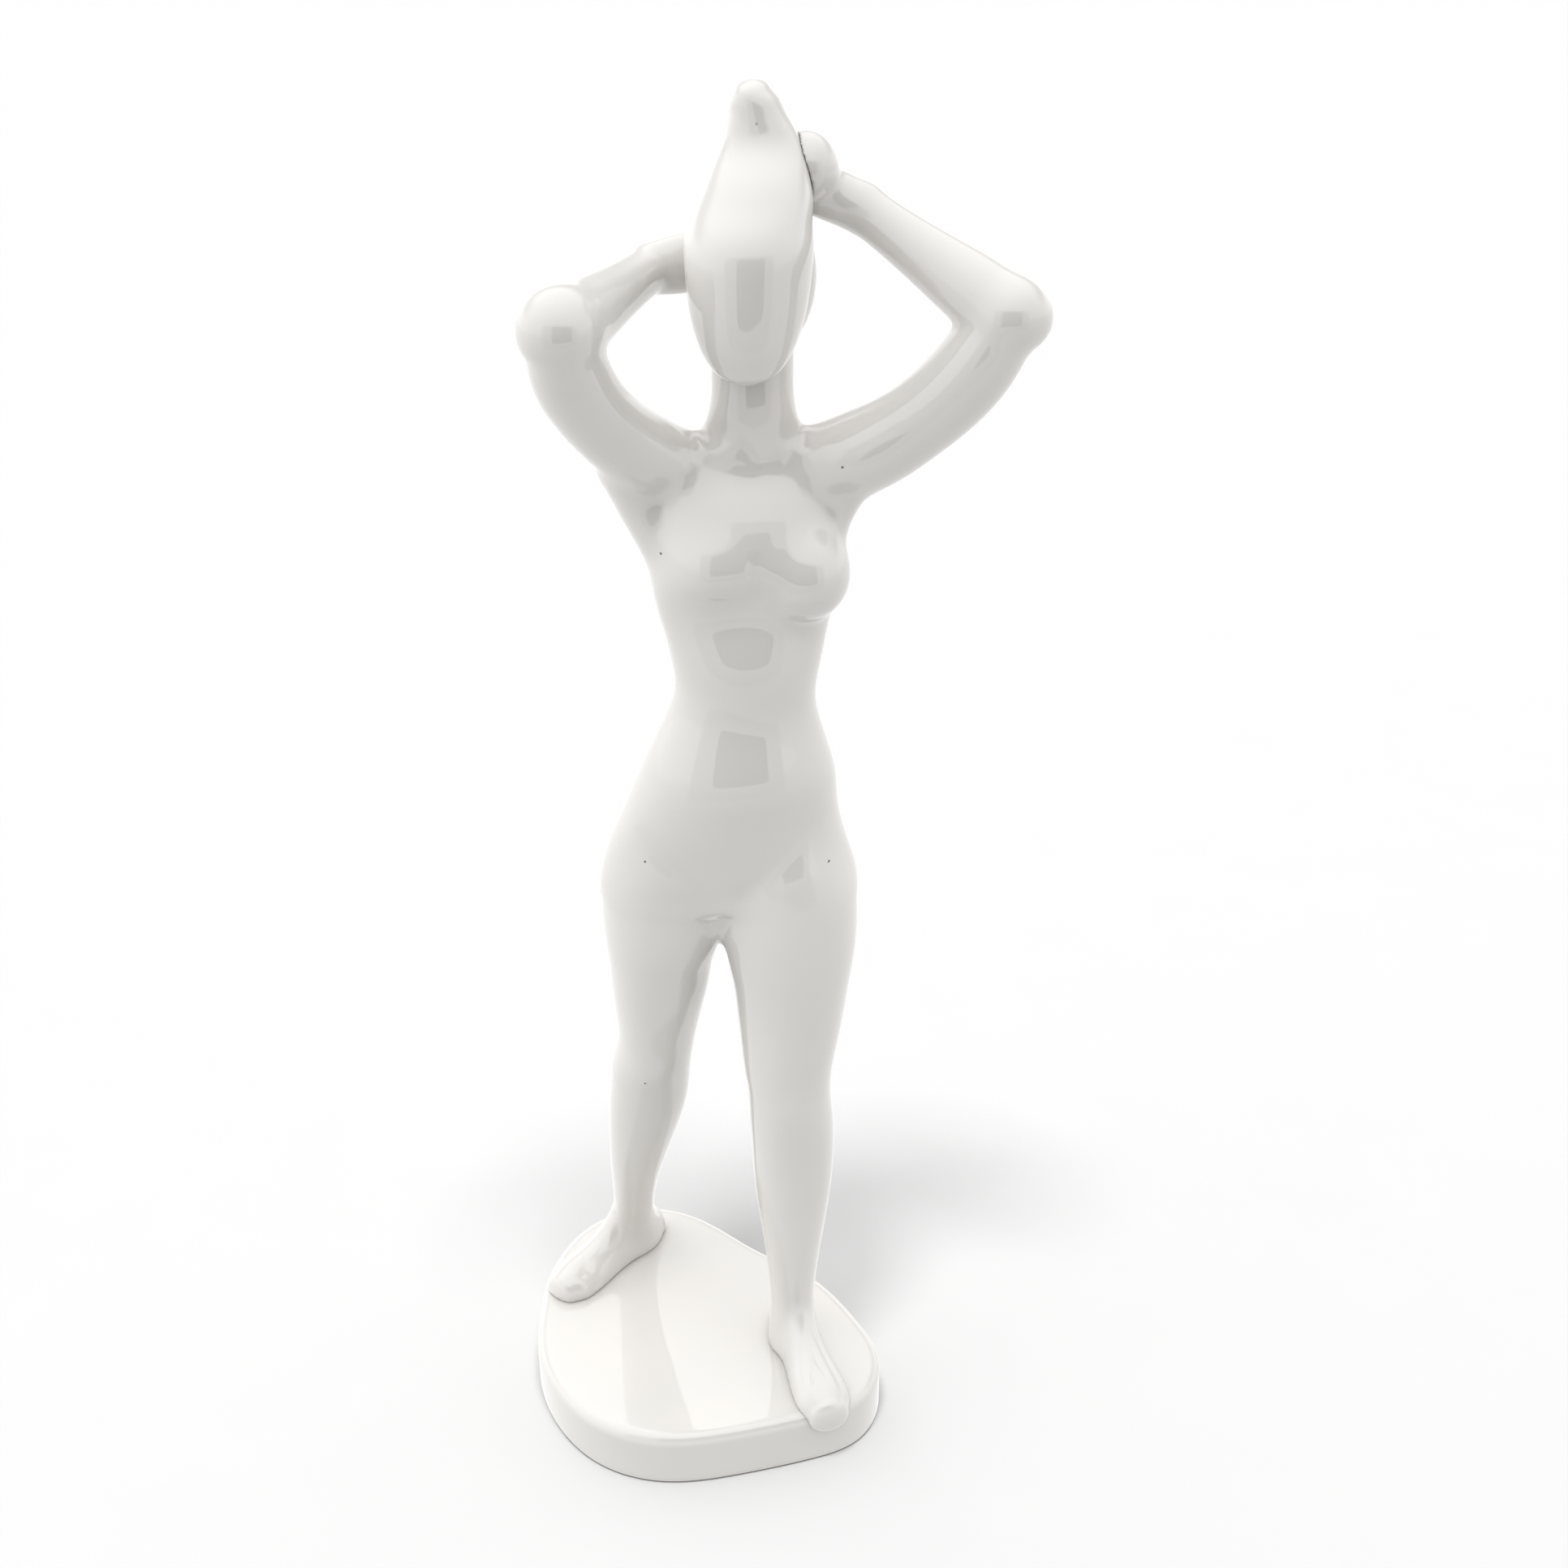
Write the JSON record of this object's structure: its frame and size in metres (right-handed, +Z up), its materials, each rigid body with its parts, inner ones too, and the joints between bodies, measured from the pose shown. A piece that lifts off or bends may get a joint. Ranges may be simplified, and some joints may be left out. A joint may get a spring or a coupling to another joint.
{
  "type": "porcelain figurine",
  "caption": "Glossy white porcelain figurine of a standing featureless figure with raised arms, on a low rounded plinth with a hollow underside.",
  "frame": {"origin": "bottom middle of the whole figurine's box, on the plane of the foot rim; the plinth's own middle is 12.35 mm towards -X", "axes": "+Z up, -Y the way the figure faces, +X towards the figure's own left hand"},
  "size_m": [0.1086, 0.081, 0.3],
  "materials": {
    "white_glaze": "glossy transparent glaze over white porcelain",
    "slip_joint": "fired casting slip, mostly under the glaze"
  },
  "bodies": {
    "root": {"plinth": "white_glaze", "right_leg": "white_glaze", "left_leg": "white_glaze", "torso": "white_glaze", "head": "white_glaze", "hair": "white_glaze", "right_arm": "white_glaze", "left_arm": "white_glaze", "right_hand": "white_glaze", "left_hand": "white_glaze", "right_sole_seam": "slip_joint", "left_sole_seam": "slip_joint", "right_hip_seam": "slip_joint", "left_hip_seam": "slip_joint", "right_shoulder_seam": "slip_joint", "left_shoulder_seam": "slip_joint", "right_wrist_seam": "slip_joint", "left_wrist_seam": "slip_joint", "neck_seam": "slip_joint", "hair_seam": "slip_joint", "right_hand_seam": "slip_joint", "left_hand_seam": "slip_joint"}
  },
  "joints": []
}
